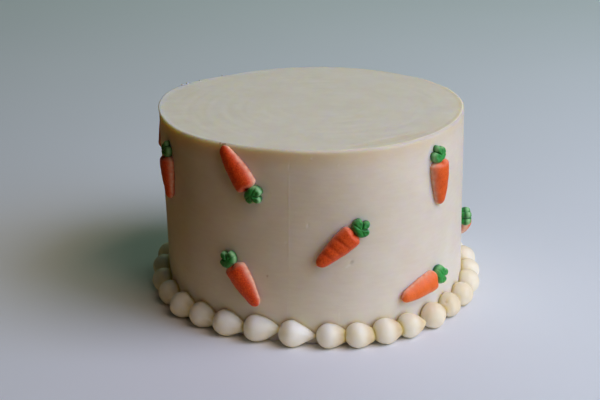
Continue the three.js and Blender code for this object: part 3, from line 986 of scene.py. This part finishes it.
def mark_shape(mark, angle, height):
    """How strongly a mark shows at each place on the side."""
    across = np.radians(angle - mark["angle"]) * CAKE_CURVE
    along = height - mark["height"]
    lean = math.radians(mark["lean"])
    wide, long = mark["reach"]
    short_way = across * math.cos(lean) - along * math.sin(lean)
    long_way = across * math.sin(lean) + along * math.cos(lean)
    return near(np.hypot(short_way / wide, long_way / long), 1)


def side_relief(place, angle, height):
    """How far the side stands out of its plain outline: soft waves, a scraped line and small marks."""
    soft = bumps(place, SIDE_BUMPS) + bumps(place * [1, 1, 4], LEVEL_BUMPS)
    off_line = np.radians(angle - SCRAPE["angle"]) * CAKE_CURVE - SCRAPE["lean"] * (height - SHOULDER / 2)
    whole = np.clip(SCRAPE["whole"] + bumps(place * [0, 0, 1], SCRAPE_BREAKS), 0, 1)
    line = SCRAPE["height"] * near(off_line, SCRAPE["width"]) * whole
    fade = smooth_step(height, 0, SIDE_FADE) * smooth_step(SHOULDER - height, 0, SIDE_FADE)
    total = (soft + line) * fade
    for mark in WALL_MARKS:
        total = total - mark["depth"] * mark_shape(mark, angle, height)
    return total


def side_rings(angle):
    """The side, from the floor to its shoulder under the lip."""
    height = np.linspace(0, SHOULDER, SIDE_ROWS)[:, None]
    angle = angle + 0 * height
    height = height + 0 * angle
    place = outward_at(angle) * wall_radius(angle, height)[..., None]
    place[..., 2] = height
    return place + outward_at(angle) * side_relief(place, angle, height)[..., None]


def lip_rings(angle):
    """The lip, from the shoulder over its crest to the edge of the top."""
    share = np.linspace(0, 1, LIP_ROWS + 1)[1:]
    full, sharp = (lip_curve(section, share)[..., None] for section in (LIP_SECTION, SHARP_LIP_SECTION))
    rounded = smooth_step(np.cos(np.radians(angle - ROUND_LIP_ANGLE)), -0.5, 0.4)
    inset, down = sharp + (full - sharp) * rounded
    rim = wall_radius(angle, np.array([[SHOULDER]])) + LIP_FLARE
    place = outward_at(angle) * (rim - inset)[..., None]
    place[..., 2] = CAKE_HEIGHT - down
    crest = 1 - smooth_step(down, 0.5, 3.0)
    place[..., 2] -= LIP_UNEVEN * crest * (LIP_SINK + bumps(place, LIP_BUMPS))
    place[..., 2] = np.minimum(place[..., 2], CAKE_HEIGHT)
    return place


def top_relief(place, angle, inset):
    """The height of the top's strokes and of the one stroke's edge, and where its trough is."""
    from_centre = place[..., :2] - STROKE_CENTRE
    round_it = np.concatenate([distance_out(from_centre)[..., None], STROKE_DRAWN_OUT * from_centre], -1)
    strokes = bumps(round_it, STROKE_BUMPS) * STROKE_DEPTH * smooth_step(inset, 5.2, 12)
    angles, insets = np.array(RIDGE_PATH).T
    path = np.interp(angle, angles, insets)
    there = smooth_step(angle, angles[0], angles[0] + RIDGE_RISES)
    there = there * (1 - smooth_step(angle, angles[-1] - RIDGE_ENDS, angles[-1]))
    ridge = RIDGE_HEIGHT * near(inset - path, RIDGE_WIDTH) * (1 + bumps(place, RIDGE_UNEVEN))
    trough = smooth_step(inset, 3.5, 5.2) * (1 - smooth_step(inset, path - TROUGH_END, path))
    return strokes + there * (ridge - TROUGH_DEPTH * trough), there * trough


def top_rings(angle, lip):
    """The top inside the lip, from its edge to its middle, and where the trough on it is."""
    edge = distance_out(lip[-1])
    share = (1 - np.arange(1, TOP_ROWS + 1) / (TOP_ROWS + 1))[:, None]
    place = outward_at(angle + 0 * share) * (edge * share)[..., None]
    inset_at_edge, down_at_edge = LIP_SECTION[-1]
    relief, trough = top_relief(place, angle, inset_at_edge + edge * (1 - share))
    blend = share ** TOP_BLEND
    level = CAKE_HEIGHT - down_at_edge - LIP_UNEVEN * LIP_SINK
    place[..., 2] = level * (1 - blend) + lip[-1][..., 2] * blend + relief
    return place, trough


def painted_glow_and_shade(rings, under, outside, angle, beads, trough):
    """Where painted glow and shade make the icing deeper yellow: glow under the lip, shade in the top's
    trough and by the beads.
    """
    strength = BAND_DEEP - BAND_UNEVEN * np.sin(np.radians(angle))
    deep = strength * smooth_step(under, 1.0, 2.8) * (1 - smooth_step(under, 3.0, 12.0)) * outside
    deep[-TOP_ROWS:] = np.maximum(deep[-TOP_ROWS:], TROUGH_DEEP * trough)
    foot = (rings[:, 0, 2] < FOOT_HEIGHT * beads[0]["radius"]) & (np.arange(len(rings)) < SIDE_ROWS)
    gap = np.min([bead_distance(bead, rings[foot]) for bead in beads], axis=0)
    deep[foot] = np.maximum(deep[foot], FOOT_DEEP * near(np.maximum(gap, 0), FOOT_DEEP_REACH))
    return deep


def cake_tints(rings, angle, beads, trough):
    """Where painted glow and shade make the icing deeper yellow, painted shade makes it duller along the
    lip at the right, and where it is smeared or crumbed.
    """
    under = CAKE_HEIGHT - rings[..., 2]
    outside = np.arange(len(rings))[:, None] < SIDE_ROWS + LIP_ROWS // 2
    deep = painted_glow_and_shade(rings, under, outside, angle, beads, trough)
    # Painted shade on the lip's crest at the right, the side the lamps light most.
    painted_rim_shade = (1 - smooth_step(under, 0.8, 2.0)) * outside
    painted_rim_shade = painted_rim_shade * smooth_step(np.sin(np.radians(angle)), -0.1, 0.6)
    tints = {"deep": deep, "painted_rim_shade": painted_rim_shade, "smear": 0 * deep, "crumb": 0 * deep}
    side = slice(0, SIDE_ROWS)
    for mark in WALL_MARKS:
        shape = mark_shape(mark, angle + 0 * rings[side, :, 2], rings[side, :, 2])
        for kind in ("smear", "crumb"):
            tints[kind][side] = np.maximum(tints[kind][side], mark[kind] * shape)
    for speck_angle, speck_down in LIP_SPECKS:
        away = np.hypot(np.radians(angle - speck_angle) * CAKE_CURVE, under - speck_down)
        tints["crumb"] = np.maximum(tints["crumb"], near(away, SPECK_REACH) * outside)
    return tints


def make_cake(beads, material):
    fine = np.arange(-FINE_SPAN, FINE_SPAN, FINE_STEP)
    coarse = np.arange(FINE_SPAN, 360 - FINE_SPAN, COARSE_STEP)
    angle = np.concatenate([fine, coarse])[None, :]
    lip = lip_rings(angle)
    top, trough = top_rings(angle, lip)
    rings = np.concatenate([side_rings(angle), lip, top])
    ends = np.array([[0, 0, 0], [0, 0, top[-1, :, 2].mean()]])
    tints = cake_tints(rings, angle, beads, trough)
    make_piece("cake_iced", material, "cake", rings, ends, tints)


# Bits of icing that stand on the lip: their angles, heights and reach.
FLECKS = (
    (-117.5, 100.9, 0.5), (-119.2, 101.5, 0.7), (-121.8, 101.6, 0.6), (-123.5, 101.1, 0.45),
    (-128.8, 101.2, 0.5), (-136.0, 101.1, 0.45), (-139.9, 101.2, 0.55), (-141.5, 101.0, 0.4),
    (93.5, 100.4, 0.6), (91.0, 98.2, 0.45),
)
# How far in from the side's outline their middles are, their bumps and spacings in reaches, how flat
# they are, and how pale.
FLECK_IN = 0.2
FLECK_BUMPS = ((0.28, 12 / 11, 500), (0.12, 0.4, 600))
FLECK_FLAT = (1, 1, 0.8)
FLECK_SMEAR = 0.3


def make_flecks(material):
    """Small ragged bits of icing on the lip, in one piece."""
    shape = bmesh.new()
    for number, (angle, height, reach) in enumerate(FLECKS):
        middle = outward_at(angle) * (wall_radius(np.array(angle), SHOULDER) - FLECK_IN)
        middle[2] = height
        lump = bmesh.ops.create_icosphere(shape, subdivisions=3, radius=reach)["verts"]
        place = np.array([vertex.co for vertex in lump])
        ragged = 1 + bumps(place / reach, FLECK_BUMPS, number)
        place = place * ragged[:, None] * FLECK_FLAT + middle
        for vertex, point in zip(lump, place):
            vertex.co = point * MM
    mesh = bpy.data.meshes.new("icing_flecks")
    shape.to_mesh(mesh)
    shape.free()
    smear = [FLECK_SMEAR] * len(mesh.vertices)
    mesh.attributes.new("smear", "FLOAT", "POINT").data.foreach_set("value", smear)
    finish_piece("icing_flecks", mesh, material, None)


# ---- Floor, camera and lights ----

FLOOR_SIZE = 9.0
FLOOR_DROP = 0.00005
LENS = 80.99
SENSOR_WIDTH = 36.0
CLIP_START = 0.01
CLIP_END = 50.0
CAMERA_BACK = 0.6893
CAMERA_UP = 0.2972
CAMERA_YAW = -0.550
CAMERA_PITCH = 19.918
CAMERA_ROLL = 0.473
# Panels of light: their name, angle round the cake, elevation, distance, width, height, power in watts
# and colour.
LIGHTS = (
    ("window_high", 60, 55, 1.3, 1.2, 0.7, 7.9, (1.0, 0.69, 0.46)),
    ("window_low", 60, 20, 1.3, 1.2, 0.7, 1.3, (1.0, 0.85, 0.5)),
    ("window_side", 72, 36, 1.3, 0.9, 1.0, 11.0, (0.48, 0.68, 1.0)),
    ("window_near", 48, 6, 1.3, 1.2, 0.5, 3.5, (1.0, 1.0, 0.94)),
    ("wall", 165, 32, 1.6, 2.0, 1.2, 4.6, (0.66, 1.0, 0.66)),
)
# How far above the floor the point is that they face.
LIGHT_AIM = 0.05
WORLD_COLOUR = colour(0.9, 0.8, 0.66)
WORLD_STRENGTH = 0.01


def make_floor():
    half = FLOOR_SIZE / 2
    mesh = bpy.data.meshes.new("floor")
    corners = [(-half, -half), (half, -half), (half, half), (-half, half)]
    mesh.from_pydata([(x, y, -FLOOR_DROP) for x, y in corners], [], [(0, 1, 2, 3)])
    mesh.materials.append(floor_material())
    floor = bpy.data.objects.new("floor", mesh)
    bpy.context.scene.collection.objects.link(floor)


def add_posed(name, data, axes, place):
    """A camera or a light, from the directions of its own axes and its place."""
    thing = bpy.data.objects.new(name, data)
    bpy.context.scene.collection.objects.link(thing)
    pose = Matrix.Identity(4)
    for column, axis in enumerate(axes):
        for row in range(3):
            pose[row][column] = axis[row]
    pose.translation = place
    thing.matrix_world = pose
    return thing


def make_camera():
    yaw, pitch, roll = (math.radians(v) for v in (CAMERA_YAW, CAMERA_PITCH, CAMERA_ROLL))
    forward = np.array([math.sin(yaw) * math.cos(pitch), math.cos(yaw) * math.cos(pitch), -math.sin(pitch)])
    level = np.array([math.cos(yaw), -math.sin(yaw), 0])
    below = np.cross(forward, level)
    right = math.cos(roll) * level + math.sin(roll) * below
    down = -math.sin(roll) * level + math.cos(roll) * below
    data = bpy.data.cameras.new("camera")
    data.lens = LENS
    data.sensor_width = SENSOR_WIDTH
    data.sensor_fit = "HORIZONTAL"
    data.clip_start = CLIP_START
    data.clip_end = CLIP_END
    place = (0, -CAMERA_BACK, CAMERA_UP)
    bpy.context.scene.camera = add_posed("camera", data, (right, -down, -forward), place)


def make_light(name, angle, elevation, distance, width, height, power, tint):
    """A soft panel of light that faces the cake from `angle` round it and `elevation` up."""
    data = bpy.data.lights.new(name, "AREA")
    data.shape = "RECTANGLE"
    data.size = width
    data.size_y = height
    data.energy = power
    data.color = tint
    away = outward_at(angle) * math.cos(math.radians(elevation))
    away[2] = math.sin(math.radians(elevation))
    sideways = onward_at(angle)
    upward = np.cross(away, sideways)
    add_posed(name, data, (sideways, upward, away), away * distance + np.array([0, 0, LIGHT_AIM]))


def make_world():
    """A faint warm light from all around, and colours shown as they are."""
    world = bpy.data.worlds.new("world")
    world.use_nodes = True
    background = world.node_tree.nodes["Background"]
    background.inputs["Color"].default_value = WORLD_COLOUR
    background.inputs["Strength"].default_value = WORLD_STRENGTH
    bpy.context.scene.world = world
    bpy.context.scene.view_settings.view_transform = "Standard"


# ---- The whole ----


def build():
    beads = all_beads()
    carrots = all_carrots()
    icing = icing_material()
    make_cake(beads, icing)
    make_flecks(icing)
    piped = piped_material()
    for i, bead in enumerate(beads):
        make_bead(bead, (beads[i - 1], beads[(i + 1) % len(beads)]), piped)
    orange = sugar_material("orange_sugar", **ORANGE)
    green = sugar_material("green_sugar", **GREEN)
    for carrot in carrots:
        make_root(carrot, orange)
        make_leaf(carrot, green)
    make_floor()
    make_camera()
    for light in LIGHTS:
        make_light(*light)
    make_world()


build()
